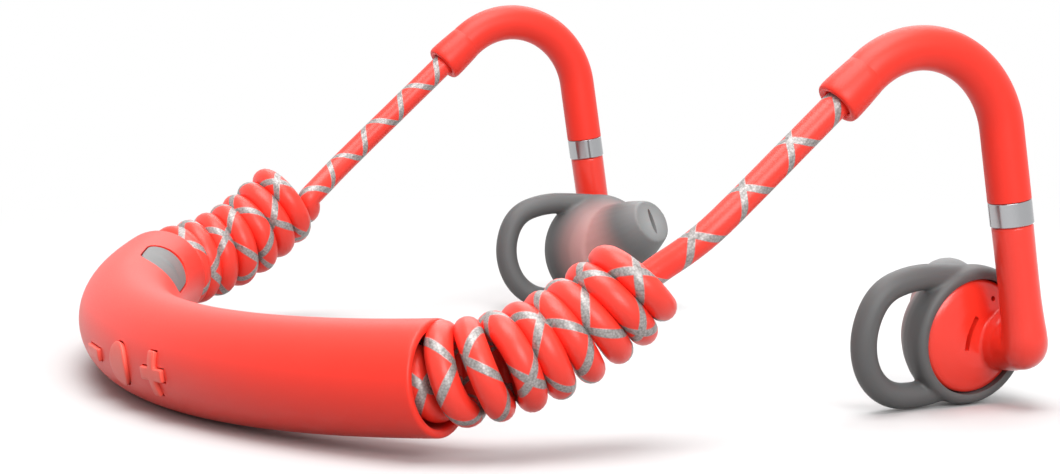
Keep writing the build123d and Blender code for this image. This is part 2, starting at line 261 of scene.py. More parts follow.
@dataclass(frozen=True)
class AdapterFinish:
    """Grey liquid-silicone rubber, smoky and a little see-through: the coral cup tints it where it is thin."""

    name: str = "smoky_silicone"
    grey: str = "#5C5C5C"
    tint: str = "#BE8A86"
    inner_mm: float = 5.6
    outer_mm: float = 9.4
    pale: str = "#989898"
    pale_reach_mm: float = 7.5

    def material(self, centre: Vector, tip: Vector) -> bpy.types.Material:
        """Builds the material.

        Args:
            centre: Middle of the cup under the silicone, in metres.
            tip: End of the nozzle, where the silicone is thinnest and palest.

        Returns:
            The material, with its tint round that point.
        """
        material, tree, shader = fresh_material(self.name)
        place = add_node(tree, "ShaderNodeTexCoord").outputs["Object"]
        reach = add_node(tree, "ShaderNodeVectorMath", {0: place, 1: tuple(centre)}, operation="DISTANCE")
        thin = add_node(tree, "ShaderNodeMapRange",
                        {"Value": reach.outputs["Value"], "From Min": self.inner_mm * MM,
                         "From Max": self.outer_mm * MM, "To Min": 1.0, "To Max": 0.0},
                        interpolation_type="SMOOTHSTEP")
        grain = add_node(tree, "ShaderNodeTexNoise", {"Vector": place, "Scale": 1 / (0.25 * MM), "Detail": 2.0})
        colour = add_node(tree, "ShaderNodeMix", {0: thin.outputs["Result"], 6: linear(self.grey),
                                                  7: linear(self.tint)}, data_type="RGBA")
        ahead = add_node(tree, "ShaderNodeVectorMath", {0: place, 1: tuple(tip)}, operation="DISTANCE")
        near_tip = add_node(tree, "ShaderNodeMapRange",
                            {"Value": ahead.outputs["Value"], "From Min": 0.0,
                             "From Max": self.pale_reach_mm * MM, "To Min": 1.0, "To Max": 0.0},
                            interpolation_type="SMOOTHSTEP")
        whole = add_node(tree, "ShaderNodeMix", {0: near_tip.outputs["Result"], 6: colour.outputs[2],
                                                 7: linear(self.pale)}, data_type="RGBA")
        tree.links.new(whole.outputs[2], shader.inputs["Base Color"])
        rough = add_node(tree, "ShaderNodeMapRange", {"Value": grain.outputs["Fac"], "To Min": 0.46, "To Max": 0.58})
        tree.links.new(rough.outputs["Result"], shader.inputs["Roughness"])
        shader.inputs["Subsurface Weight"].default_value = 0.15
        shader.inputs["Subsurface Scale"].default_value = 1.0 * MM
        add_bump(tree, shader, grain.outputs["Fac"], 0.012 * MM, 0.6)
        return material


# ---------------------------------------------------------------- modelling helpers
def start_fresh() -> None:
    """Leaves edit mode and deselects everything."""
    if bpy.context.object and bpy.context.object.mode != "OBJECT":
        bpy.ops.object.mode_set(mode="OBJECT")
    bpy.ops.object.select_all(action="DESELECT")


def only(piece: bpy.types.Object) -> bpy.types.Object:
    """Selects one piece alone and makes it active."""
    start_fresh()
    piece.select_set(True)
    bpy.context.view_layer.objects.active = piece
    return piece


def edit(piece: bpy.types.Object, pick: str = "SELECT") -> None:
    """Opens one piece in edit mode with all or none of it selected."""
    only(piece)
    bpy.ops.object.mode_set(mode="EDIT")
    bpy.ops.mesh.select_all(action=pick)


def done(piece: bpy.types.Object, name: str) -> bpy.types.Object:
    """Names a piece and moves its place into its mesh."""
    start_fresh()
    piece.name = name
    piece.data.name = name
    piece.data.transform(piece.matrix_world)
    piece.matrix_world = Matrix.Identity(4)
    return piece


def modify(piece: bpy.types.Object, kind: str, **settings) -> bpy.types.Object:
    """Adds a modifier with its settings and applies it."""
    only(piece)
    modifier = piece.modifiers.new(kind.lower(), kind)
    for name, value in settings.items():
        setattr(modifier, name, value)
    bpy.ops.object.modifier_apply(modifier=modifier.name)
    return piece


def place(piece: bpy.types.Object, matrix: Matrix) -> bpy.types.Object:
    """Moves a piece's mesh by a matrix."""
    piece.data.transform(matrix)
    piece.data.update()
    return piece


def cut(piece: bpy.types.Object, *tools: bpy.types.Object) -> bpy.types.Object:
    """Cuts closed tools out of a piece and removes them."""
    for tool in tools:
        modify(piece, "BOOLEAN", object=tool, operation="DIFFERENCE", solver="EXACT")
        bpy.data.objects.remove(tool)
    return piece


def join(pieces: list[bpy.types.Object]) -> bpy.types.Object:
    """Joins pieces into the first."""
    start_fresh()
    for piece in pieces:
        piece.select_set(True)
    bpy.context.view_layer.objects.active = pieces[0]
    bpy.ops.object.join()
    return pieces[0]


def face_out(piece: bpy.types.Object, merge: float = 1e-6) -> bpy.types.Object:
    """Merges doubles and turns every face outwards."""
    edit(piece)
    bpy.ops.mesh.remove_doubles(threshold=merge)
    bpy.ops.mesh.normals_make_consistent(inside=False)
    bpy.ops.object.mode_set(mode="OBJECT")
    return piece


def shade(piece: bpy.types.Object, angle: float = 40.0) -> bpy.types.Object:
    """Smooths a piece's shading except over sharp edges."""
    only(piece)
    bpy.ops.object.shade_smooth_by_angle(angle=radians(angle))
    return piece


def melted(piece: bpy.types.Object, voxel_mm: float, rounds: int) -> bpy.types.Object:
    """Fuses overlapping closed shapes into one skin and softens the corners between them."""
    modify(piece, "REMESH", mode="VOXEL", voxel_size=voxel_mm * MM, adaptivity=0.0)
    modify(piece, "SMOOTH", factor=0.5, iterations=rounds)
    return piece


def dress(piece: bpy.types.Object, material: bpy.types.Material, slot: str, body: str | None,
          *nodes: str) -> bpy.types.Object:
    """Gives a finished piece its material and the body it rides on, and hides the nodes it replaces."""
    piece.data.materials.clear()
    piece.data.materials.append(material)
    if body:
        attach(piece, body)
    if nodes:
        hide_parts(*nodes)
    return piece


def mirrored(piece: bpy.types.Object, name: str) -> bpy.types.Object:
    """A copy with its own mesh on the other side of the middle plane, faces outwards."""
    only(piece)
    bpy.ops.object.duplicate()
    twin = bpy.context.object
    for note in list(twin.keys()):
        del twin[note]
    twin.data.transform(Matrix.Scale(-1, 4, Vector((1, 0, 0))))
    twin.data.flip_normals()
    return done(twin, name)


def circle(centre: Vector, way: Vector, radius: float, sides: int = 48) -> bpy.types.Object:
    """A ring of edges round a point, square to a direction."""
    start_fresh()
    turn = way.to_track_quat("Z", "Y").to_euler()
    bpy.ops.mesh.primitive_circle_add(vertices=sides, radius=radius, location=centre, rotation=turn)
    return done(bpy.context.object, "ring")


def bar(start: Vector, end: Vector, radius: float, sides: int = 48) -> bpy.types.Object:
    """A closed round bar between two points."""
    piece = circle(start, end - start, radius, sides)
    edit(piece)
    bpy.ops.mesh.edge_face_add()
    bpy.ops.mesh.extrude_region_move(TRANSFORM_OT_translate={"value": end - start})
    bpy.ops.object.mode_set(mode="OBJECT")
    return face_out(piece)


def lathe(outline: list[tuple[float, float]], steps: int = 96) -> bpy.types.Object:
    """A closed solid turned round Z.

    Args:
        outline: (radius, height) points in millimetres, from the axis round to the axis again.
        steps: Faces round the axis.

    Returns:
        The piece, about the origin.
    """
    start_fresh()
    bpy.ops.mesh.primitive_plane_add(size=MM)
    piece = done(bpy.context.object, "turned")
    edit(piece)
    bpy.ops.mesh.delete(type="VERT")
    bpy.ops.object.mode_set(mode="OBJECT")
    points = [(r * MM, 0.0, h * MM) for r, h in outline]
    piece.data.from_pydata(points, [(i, i + 1) for i in range(len(points) - 1)], [])
    edit(piece)
    bpy.ops.mesh.spin(steps=steps, angle=2 * pi, center=(0, 0, 0), axis=(0, 0, 1))
    bpy.ops.object.mode_set(mode="OBJECT")
    return face_out(piece, 1e-7)


def spline_points(name: str, controls: list[Vector], resolution: int = 6) -> list[Vector]:
    """The points along a smooth open NURBS line through a route.

    Args:
        name: What to call the line while it exists.
        controls: The route's points.
        resolution: Points for each span of the line.

    Returns:
        The line's points in order.
    """
    curve = bpy.data.curves.new(name, "CURVE")
    curve.dimensions = "3D"
    curve.resolution_u = resolution
    spline = curve.splines.new("NURBS")
    spline.points.add(len(controls) - 1)
    for point, control in zip(spline.points, controls):
        point.co = (*control, 1.0)
    spline.order_u = 3
    spline.use_endpoint_u = True
    holder = bpy.data.objects.new(name, curve)
    bpy.context.collection.objects.link(holder)
    bpy.context.view_layer.update()
    mesh = bpy.data.meshes.new_from_object(holder)
    points = [vertex.co.copy() for vertex in mesh.vertices]
    bpy.data.objects.remove(holder)
    bpy.data.meshes.remove(mesh)
    return points


def curved_bar(name: str, controls: list[Vector], radii: list[float], sides: int = 12) -> bpy.types.Object:
    """A closed tube along a smooth route, its radius given at each control point."""
    curve = bpy.data.curves.new(name, "CURVE")
    curve.dimensions = "3D"
    curve.resolution_u = 12
    curve.bevel_depth = 1.0
    curve.bevel_resolution = sides
    curve.use_fill_caps = True
    spline = curve.splines.new("NURBS")
    spline.points.add(len(controls) - 1)
    for point, control, radius in zip(spline.points, controls, radii):
        point.co = (*control, 1.0)
        point.radius = radius
    spline.order_u = 3
    spline.use_endpoint_u = True
    holder = bpy.data.objects.new(name, curve)
    bpy.context.collection.objects.link(holder)
    only(holder)
    bpy.ops.object.convert(target="MESH")
    return face_out(done(bpy.context.object, name))


# ---------------------------------------------------------------- neckband
@dataclass
class Neckband:
    """The curved tube with its buttons, charging flap and recessed ends."""

    radius: float = 7.25 * MM
    bend: float = 96.9 * MM
    half_angle: float = radians(35.4)
    tilt: float = radians(8.15)
    wall: float = 1.1 * MM
    button_size: float = 6.0 * MM
    button_bar: float = 1.7 * MM
    button_proud: float = 0.5 * MM
    button_angles: dict[str, float] = field(
        default_factory=lambda: {"plus": radians(9.0), "play": radians(2.8), "minus": radians(-3.6)})
    port_angle: float = radians(-25.5)
    port_rise: float = radians(143.0)
    cover_size: tuple[float, float] = (14.0 * MM, 8.6 * MM)
    gap: float = 0.18 * MM
    foot_narrowing: float = 0.93

    def __post_init__(self) -> None:
        """Works out where the neckband lies from its box."""
        low, _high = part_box("neckband_sleeve")
        self.back = Vector((0, low[1] + self.radius, self.radius))
        self.frame = Matrix.Translation(self.back) @ Matrix.Rotation(self.tilt, 4, "X")

    def section(self, angle: float, rise: float = 0.0) -> Matrix:
        """The frame at an angle along the tube: X along it, Z outwards, raised by rise about the tube."""
        centre = Vector((self.bend * sin(angle), self.bend * (1 - cos(angle)), 0))
        outward = Vector((sin(angle), -cos(angle), 0))
        along = Vector((cos(angle), sin(angle), 0))
        facing = outward * cos(rise) + Vector((0, 0, 1)) * sin(rise)
        across = facing.cross(along)
        turn = Matrix((along, across, facing)).transposed().to_4x4()
        return self.frame @ Matrix.Translation(centre) @ turn

    def wrap(self, piece: bpy.types.Object, angle: float, rise: float) -> bpy.types.Object:
        """Bends a flat piece, drawn on Z = 0 at the skin, round the tube at an angle along it."""
        for vertex in piece.data.vertices:
            x, y, z = vertex.co
            turn = y / self.radius
            reach = self.radius + z
            vertex.co = (x, reach * sin(turn), reach * cos(turn))
        piece.data.update()
        return place(piece, self.section(angle, rise))

    def plate(self, outline: bpy.types.Object, low: float, high: float, round_mm: float) -> bpy.types.Object:
        """Raises a flat outline into a plate with softened edges and faces fine enough to wrap."""
        edit(outline)
        bpy.ops.transform.translate(value=(0, 0, low))
        bpy.ops.mesh.extrude_region_move(TRANSFORM_OT_translate={"value": (0, 0, high - low)})
        bpy.ops.object.mode_set(mode="OBJECT")
        face_out(outline)
        if round_mm:
            modify(outline, "BEVEL", width=round_mm * MM, segments=3, limit_method="ANGLE", angle_limit=radians(50))
        for step in range(1, 8):
            for plane in ((1, 0, 0), (0, 1, 0)):
                self._slice(outline, plane, (step - 4) * 0.95 * MM)
        return outline

    def _slice(self, piece: bpy.types.Object, normal: Point, reach: float) -> None:
        """Cuts an edge across a piece at a distance along a direction, keeping both sides."""
        edit(piece)
        bpy.ops.mesh.bisect(plane_co=tuple(reach * part for part in normal), plane_no=normal)
        bpy.ops.object.mode_set(mode="OBJECT")

    def sign(self, kind: str, grow: float) -> bpy.types.Object:
        """The flat outline of a button's sign, filled, grown by a margin."""
        start_fresh()
        size, thin = self.button_size / 2 + grow, self.button_bar / 2 + grow
        if kind == "play":
            bpy.ops.mesh.primitive_circle_add(vertices=40, radius=size, fill_type="NGON")
            return done(bpy.context.object, kind)
        bpy.ops.mesh.primitive_plane_add(size=2)
        flat = bpy.context.object
        flat.scale = (size, thin, 1)
        done(flat, kind)
        if kind == "plus":
            edit(flat)
            for way in (thin, -thin):
                bpy.ops.mesh.select_all(action="SELECT")
                bpy.ops.mesh.bisect(plane_co=(way, 0, 0), plane_no=(1, 0, 0))
            bpy.ops.object.mode_set(mode="OBJECT")
            for way in (1, -1):
                edit(flat, "DESELECT")
                bpy.ops.mesh.select_mode(type="EDGE")
                bpy.ops.object.mode_set(mode="OBJECT")
                for edge in flat.data.edges:
                    middle = sum((flat.data.vertices[i].co for i in edge.vertices), Vector()) / 2
                    edge.select = abs(middle.x) < thin / 2 and abs(middle.y - way * thin) < 1e-6
                bpy.ops.object.mode_set(mode="EDIT")
                bpy.ops.mesh.extrude_region_move(TRANSFORM_OT_translate={"value": (0, way * (size - thin), 0)})
                bpy.ops.object.mode_set(mode="OBJECT")
            edit(flat)
            bpy.ops.mesh.select_mode(type="VERT")
            bpy.ops.object.mode_set(mode="OBJECT")
        return flat

    def oval(self, grow: float) -> bpy.types.Object:
        """The charging flap's flat outline: a slot with round ends, grown by a margin."""
        length, width = (size / 2 + grow for size in self.cover_size)
        start_fresh()
        bpy.ops.mesh.primitive_circle_add(vertices=48, radius=width, fill_type="NGON")
        flat = done(bpy.context.object, "oval")
        for vertex in flat.data.vertices:
            if abs(vertex.co.x) > 1e-6:
                vertex.co.x += (length - width) * (1 if vertex.co.x > 0 else -1)
        return flat

    def pocket(self, outline: bpy.types.Object, angle: float, rise: float) -> bpy.types.Object:
        """A cutting tool through the skin under a sign or the flap."""
        return self.wrap(self.plate(outline, -1.6 * MM, 1.0 * MM, 0.0), angle, rise)

    def skin(self) -> bpy.types.Object:
        """The tube: a ring spun along the arc, given its wall, its rounded lips and its pockets."""
        start = Vector((-self.bend * sin(self.half_angle), self.bend * (1 - cos(self.half_angle)), 0))
        way = Vector((cos(self.half_angle), -sin(self.half_angle), 0))
        tube = circle(start, way, self.radius, 72)
        edit(tube)
        bpy.ops.mesh.spin(steps=110, angle=-2 * self.half_angle, center=(0, self.bend, 0), axis=(0, 0, 1))
        bpy.ops.object.mode_set(mode="OBJECT")
        face_out(tube)
        modify(tube, "SOLIDIFY", thickness=self.wall, offset=-1.0)
        modify(tube, "BEVEL", width=0.42 * MM, segments=4, limit_method="ANGLE", angle_limit=radians(60))
        place(tube, self.frame)
        tools = [self.pocket(self.sign(kind, self.gap), angle, 0.0) for kind, angle in self.button_angles.items()]
        tools.append(self.pocket(self.oval(self.gap), self.port_angle, self.port_rise))
        cut(tube, *tools)
        return shade(done(tube, "neckband_skin"))

    def button(self, kind: str) -> bpy.types.Object:
        """A raised sign that follows the tube, with rounded edges and a foot in its pocket."""
        plate = self.plate(self.sign(kind, 0.0), -0.75 * MM, self.button_proud, 0.22)
        for vertex in plate.data.vertices:
            if vertex.co.z < -0.1 * MM:
                vertex.co.x *= self.foot_narrowing
                vertex.co.y *= self.foot_narrowing
        self.wrap(plate, self.button_angles[kind], 0.0)
        return shade(done(plate, "button_" + kind + "_cap"))

    def flap(self) -> bpy.types.Object:
        """The charging flap: an oval of soft rubber with a low grip ridge across its middle."""
        plate = self.plate(self.oval(0.0), -1.05 * MM, 0.0, 0.28)
        modify(plate, "SUBSURF", levels=1, render_levels=1, subdivision_type="SIMPLE")
        for vertex in plate.data.vertices:
            if vertex.co.z > -0.2 * MM:
                across = min(1.0, abs(vertex.co.x) / (1.3 * MM))
                along = min(1.0, abs(vertex.co.y) / (3.0 * MM))
                vertex.co.z += 0.3 * MM * (1 - across ** 2) ** 2 * (1 - along ** 2) ** 2
        self.wrap(plate, self.port_angle, self.port_rise)
        return shade(done(plate, "charge_flap"))


# ---------------------------------------------------------------- cords
@dataclass
class ArmCord:
    """One side's cord: a coil out of the neckband's end, then a straight run to the ear hook."""

    route: list[Point] = field(default_factory=lambda: [
        (0.05128, -0.03348, 0.00930), (0.05858, -0.02835, 0.01004), (0.06020, -0.01630, 0.01340),
        (0.06120, -0.01020, 0.01740), (0.06190, -0.00550, 0.02120)])
    run: list[Point] = field(default_factory=lambda: [(0.06200, -0.00400, 0.01961), (0.06240, 0.02468, 0.04403)])
    thick: float = 3.6 * MM
    turns: float = 9.2
    phase: float = radians(275.0)
    coil_radius: float = 4.9 * MM
    steps: int = 26
    sides: int = 20

    def axis(self) -> list[tuple[Vector, Vector, float]]:
        """Points of the coil's middle line with their directions and distances from the start."""
        line = spline_points("coil_axis", [Vector(p) for p in self.route], 24)
        rows, reach = [], 0.0
        for i, point in enumerate(line):
            before, after = line[max(i - 1, 0)], line[min(i + 1, len(line) - 1)]
            reach += (point - before).length
            rows.append((point, (after - before).normalized(), reach))
        return rows

    def along(self, rows: list[tuple[Vector, Vector, float]], reach: float) -> tuple[Vector, Vector]:
        """The middle line's point and direction at a distance from its start."""
        for (a, way_a, from_a), (b, way_b, from_b) in zip(rows, rows[1:]):
            if reach <= from_b:
                share = (reach - from_a) / max(from_b - from_a, 1e-9)
                return a.lerp(b, share), way_a.lerp(way_b, share).normalized()
        return rows[-1][0], rows[-1][1]

    def controls(self) -> list[Vector]:
        """The cord's own route: out of the recess, round the coil's turns and straight to the hook."""
        rows = self.axis()
        length = rows[-1][2]
        lead = 1.2 * MM
        count = int(self.turns * self.steps)
        points = [rows[0][0].copy()]
        for i in range(count + 1):
            share = i / count
            reach = lead + (length - lead) * share
            centre, way = self.along(rows, reach)
            flat = way.cross(Vector((0, 0, 1))).normalized()
            up = flat.cross(way)
            turned = self.phase - 2 * pi * self.turns * share
            grow = min(1.0, 0.12 + 0.88 * share * self.turns / 1.3)
            ending = 1.0 - 0.35 * max(0.0, (share - (1 - 0.45 / self.turns)) * self.turns / 0.45)
            wobble = 1.0 + 0.025 * sin(5.1 * share * self.turns)
            radius = self.coil_radius * grow * ending * wobble
            points.append(centre + (up * sin(turned) + flat * cos(turned)) * radius)
        start, end = (Vector(p) for p in self.run)
        last = points[-1]
        for share, settle in ((0.07, 0.8), (0.14, 0.45), (0.22, 0.16), (0.32, 0.0), (0.65, 0.0)):
            points.append(start.lerp(end, share) + (last - start) * settle)
        points.append(end)
        return points

    def rings(self) -> tuple[list[Vector], list[list[Vector]], list[float]]:
        """Ring centres, ring points and distances along the cord, without twist between rings."""
        line = spline_points("cord_line", self.controls(), 3)
        centres = [line[0]]
        for point in line[1:]:
            if (point - centres[-1]).length > 0.25 * MM:
                centres.append(point)
        rings, reaches, reach = [], [], 0.0
        side = None
        for i, centre in enumerate(centres):
            before, after = centres[max(i - 1, 0)], centres[min(i + 1, len(centres) - 1)]
            way = (after - before).normalized()
            side = way.orthogonal().normalized() if side is None else (side - way * side.dot(way)).normalized()
            other = way.cross(side)
            reach += (centre - before).length
            rings.append([centre + (side * cos(2 * pi * k / self.sides) + other * sin(2 * pi * k / self.sides))
                          * self.thick / 2 for k in range(self.sides)])
            reaches.append(reach)
        return centres, rings, reaches

    def tube(self, name: str, rings: list[list[Vector]], reaches: list[float], pitch: float) -> bpy.types.Object:
        """A closed mesh tube through rings, with the stripes' own map.

        Args:
            name: The piece's name.
            rings: Points of each ring in order.
            reaches: Distance of each ring along the whole cord.
            pitch: Length of one turn of a stripe.

        Returns:
            The piece.
        """
        sides = self.sides
        points = [tuple(point) for ring in rings for point in ring]
        faces = [(r * sides + k, r * sides + (k + 1) % sides, (r + 1) * sides + (k + 1) % sides, (r + 1) * sides + k)
                 for r in range(len(rings) - 1) for k in range(sides)]
        caps = [tuple(reversed(range(sides))), tuple(range((len(rings) - 1) * sides, len(rings) * sides))]
        mesh = bpy.data.meshes.new(name)
        mesh.from_pydata(points, [], faces + caps)
        chart = mesh.uv_layers.new(name="cord")
        for face in mesh.polygons:
            for corner in face.loop_indices:
                ring, k = divmod(mesh.loops[corner].vertex_index, sides)
                wraps = face.index < len(faces) and k == 0 and face.index % sides == sides - 1
                chart.data[corner].uv = (reaches[ring] / pitch, 1.0 if wraps else k / sides)
        mesh.update()
        piece = bpy.data.objects.new(name, mesh)
        bpy.context.collection.objects.link(piece)
        return shade(piece, 60)


# ---------------------------------------------------------------- ear hook
@dataclass
class EarHook:
    """The soft sleeve over the ear, its metal collar, and the stem moulded in one with the bud's disc."""

    sleeve_radius: float = 2.87 * MM
    lip_radius: float = 3.15 * MM
    arc_radius: float = 12.4 * MM
    rear_angle: float = radians(130.0)
    front_angle: float = radians(8.0)
    rear_run: float = 6.0 * MM
    front_run: float = 9.4 * MM
    collar_length: float = 3.3 * MM
    x: float = 62.4 * MM

    def __post_init__(self) -> None:
        """Works out where the hook lies from the sleeve's box."""
        low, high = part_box("hook_sleeve_right")
        top_radius = 2.95 * MM
        slant = self.front_angle
        ahead = (top_radius + self.arc_radius) * cos(slant) + self.front_run * sin(slant)
        self.centre = Vector((self.x, high[1] - ahead, high[2] - top_radius - self.arc_radius))
        back = self.at(self.rear_angle)
        self.rear_way = self.way(self.rear_angle)
        self.front_way = self.way(self.front_angle)
        self.mouth = back - self.rear_way * self.rear_run
        self.sleeve_end = self.at(self.front_angle) + self.front_way * self.front_run
        self.collar_end = self.sleeve_end + self.front_way * self.collar_length

    def at(self, angle: float) -> Vector:
        """A point on the hook's arc."""
        return self.centre + Vector((0, cos(angle), sin(angle))) * self.arc_radius

    def way(self, angle: float) -> Vector:
        """The direction down the hook at a point of its arc."""
        return Vector((0, sin(angle), -cos(angle)))

    def sleeve(self) -> bpy.types.Object:
        """The soft tube: a run, an arc and a run, with a rolled lip and a recess where the cord goes in."""
        tube = circle(self.mouth + self.rear_way * 1.2 * MM, self.rear_way, self.sleeve_radius, 56)
        edit(tube)
        bpy.ops.mesh.extrude_region_move(
            TRANSFORM_OT_translate={"value": self.rear_way * (self.rear_run - 1.2 * MM)})
        bpy.ops.mesh.spin(steps=64, angle=self.rear_angle - self.front_angle, center=self.centre, axis=(1, 0, 0))
        bpy.ops.mesh.extrude_region_move(TRANSFORM_OT_translate={"value": self.front_way * self.front_run})
        bpy.ops.object.mode_set(mode="OBJECT")
        tube = face_out(tube)
        edit(tube)
        bpy.ops.mesh.fill_holes(sides=0)
        bpy.ops.object.mode_set(mode="OBJECT")
        lip = lathe([(0, 0.9), (1.85, 0.9), (1.95, 0.3), (2.3, 0.02), (2.75, 0.0), (3.02, 0.2), (3.12, 0.7),
                     (3.12, 1.6), (3.04, 3.2), (2.94, 4.8), (2.85, 5.9), (0, 5.9)], 56)
        modify(lip, "BEVEL", width=0.12 * MM, segments=2, limit_method="ANGLE", angle_limit=radians(35))
        place(lip, Matrix.Translation(self.mouth) @ self.rear_way.to_track_quat("Z", "Y").to_matrix().to_4x4())
        return shade(face_out(done(join([tube, lip]), "hook_skin_right"), 1e-7), 50)

    def collar(self) -> bpy.types.Object:
        """The polished ring between the sleeve and the stem, its edges softened."""
        outer, inner, length = 2.87, 1.8, self.collar_length / MM
        ring = lathe([(inner, 0.03), (outer - 0.12, 0.03), (outer, 0.15), (outer, length - 0.15),
                      (outer - 0.12, length - 0.03), (inner, length - 0.03), (inner, 0.03)], 96)
        place(ring, Matrix.Translation(self.sleeve_end)
              @ self.front_way.to_track_quat("Z", "Y").to_matrix().to_4x4())
        return shade(done(ring, "collar_ring_right"))


# ---------------------------------------------------------------- earbud
@dataclass
class Earbud:
    """The bud: outer disc and stem in one, and the soft adapter with its ring, dome, nozzle and fin loop."""

    centre: Point = (57.5 * MM, 46.4 * MM, 9.2 * MM)
    yaw: float = radians(5.0)
    pitch: float = radians(6.0)
    disc: float = 7.7
    ring: float = 9.4
    fin: float = 1.75
    fin_level: float = -3.2

    def __post_init__(self) -> None:
        """Sets up the bud's own frame: X forward, Y up, Z outboard."""
        out = Vector((cos(self.yaw) * cos(self.pitch), sin(self.yaw) * cos(self.pitch), -sin(self.pitch)))
        ahead = Vector((-sin(self.yaw), cos(self.yaw), 0))
        turn = Matrix((ahead, out.cross(ahead), out)).transposed().to_4x4()
        self.frame = Matrix.Translation(Vector(self.centre)) @ turn

    def local(self, x: float, y: float, z: float) -> Vector:
        """A point given in the bud's own frame, in millimetres."""
        return self.frame @ Vector((x * MM, y * MM, z * MM))

    def nozzle_tip(self) -> Vector:
        """The middle of the nozzle's end."""
        return self.local(*(part * 12.4 for part in Vector((0.42, 0.36, -0.83)).normalized())) \
            + self.frame.to_3x3() @ Vector((0, 0, -4.2 * MM))

    def slot_tool(self) -> bpy.types.Object:
        """A curved slot cutter for the disc."""
        route = [Vector((x * MM, y * MM, -0.1 * MM)) for x, y in ((-0.6, 2.9), (-1.5, 1.4), (-1.95, -0.2), (-2.0, -1.5))]
        tool = curved_bar("slot", route, [0.36 * MM] * len(route), 6)
        return place(tool, self.frame @ Matrix.Scale(4.5, 4, Vector((0, 0, 1))))

    def back(self, hook: EarHook) -> bpy.types.Object:
        """The disc and the stem, melted together where the stem turns into the disc's middle."""
        rim = self.disc
        plate = lathe([(0, 0.0), (2.0, -0.06), (4.0, -0.28), (5.6, -0.62), (6.8, -0.98), (rim - 0.25, -1.3),
                       (rim - 0.02, -1.65), (rim - 0.05, -3.2), (0, -3.2)], 96)
        place(plate, self.frame)
        way = hook.front_way
        elbow = hook.collar_end + way * 16.2 * MM
        inward = self.local(4.3, -0.5, 1.5)
        route = [hook.collar_end, hook.collar_end + way * 4 * MM, hook.collar_end + way * 9 * MM,
                 hook.collar_end + way * 12.4 * MM, elbow, elbow.lerp(inward, 0.55), inward,
                 self.local(4.4, -0.4, -1.8)]
        stem = curved_bar("stem", route, [r * MM for r in (2.75, 2.72, 2.7, 2.8, 3.1, 3.5, 3.9, 4.6)], 14)
        back = melted(join([plate, stem]), 0.17, 9)
        hole = bar(self.local(2.2, 5.1, -3), self.local(2.2, 5.1, 1), 0.36 * MM, 20)
        cut(back, self.slot_tool(), hole)
        return shade(done(back, "bud_disc_right"), 45)

    def adapter(self) -> bpy.types.Object:
        """The silicone: ring round the disc, dome, nozzle and fin loop in one soft skin."""
        ring = lathe([(0, -0.95), (self.disc + 0.2, -0.95), (8.2, -0.7), (8.8, -0.85), (9.2, -1.3), (self.ring, -2.2),
                      (9.35, -3.4), (9.0, -4.7), (8.3, -6.0), (7.2, -7.6), (5.5, -9.0), (3.0, -9.9), (0, -10.1)])
        route = [(1.0, 7.5), (-4.0, 8.0), (-9.5, 8.3), (-14.8, 6.6), (-17.0, 1.2), (-15.9, -4.2), (-12.2, -7.5),
                 (-7.0, -7.8), (-3.5, -7.1), (1.0, -6.6)]
        loop = curved_bar("loop", [Vector((x * MM, y * MM, self.fin_level * MM)) for x, y in route],
                          [self.fin * MM] * len(route), 10)
        nozzle_way = Vector((0.42, 0.36, -0.83)).normalized()
        root = Vector((0, 0, -4.2 * MM))
        tip = root + nozzle_way * 12.4 * MM
        nozzle = curved_bar("nozzle", [root, root.lerp(tip, 0.45), root.lerp(tip, 0.8), tip],
                            [7.0 * MM, 6.1 * MM, 4.8 * MM, 3.7 * MM], 12)
        body = melted(join([ring, loop, nozzle]), 0.22, 8)
        well = lathe([(0, 1.0), (self.disc + 0.12, 1.0), (self.disc + 0.12, -3.3), (0, -3.3)])
        mouth = bar(tip - nozzle_way * 1.4 * MM, tip + nozzle_way * 2 * MM, 0.45 * MM, 24)
        for vertex in mouth.data.vertices:
            offset = vertex.co - tip
            lift = Vector((0, 1, 0)) - nozzle_way * nozzle_way.y
            lift.normalize()
            vertex.co += lift * offset.dot(lift) * 4.0
        cut(body, well, mouth)
        place(body, self.frame)
        return shade(done(body, "ear_adapter_skin_right"), 50)


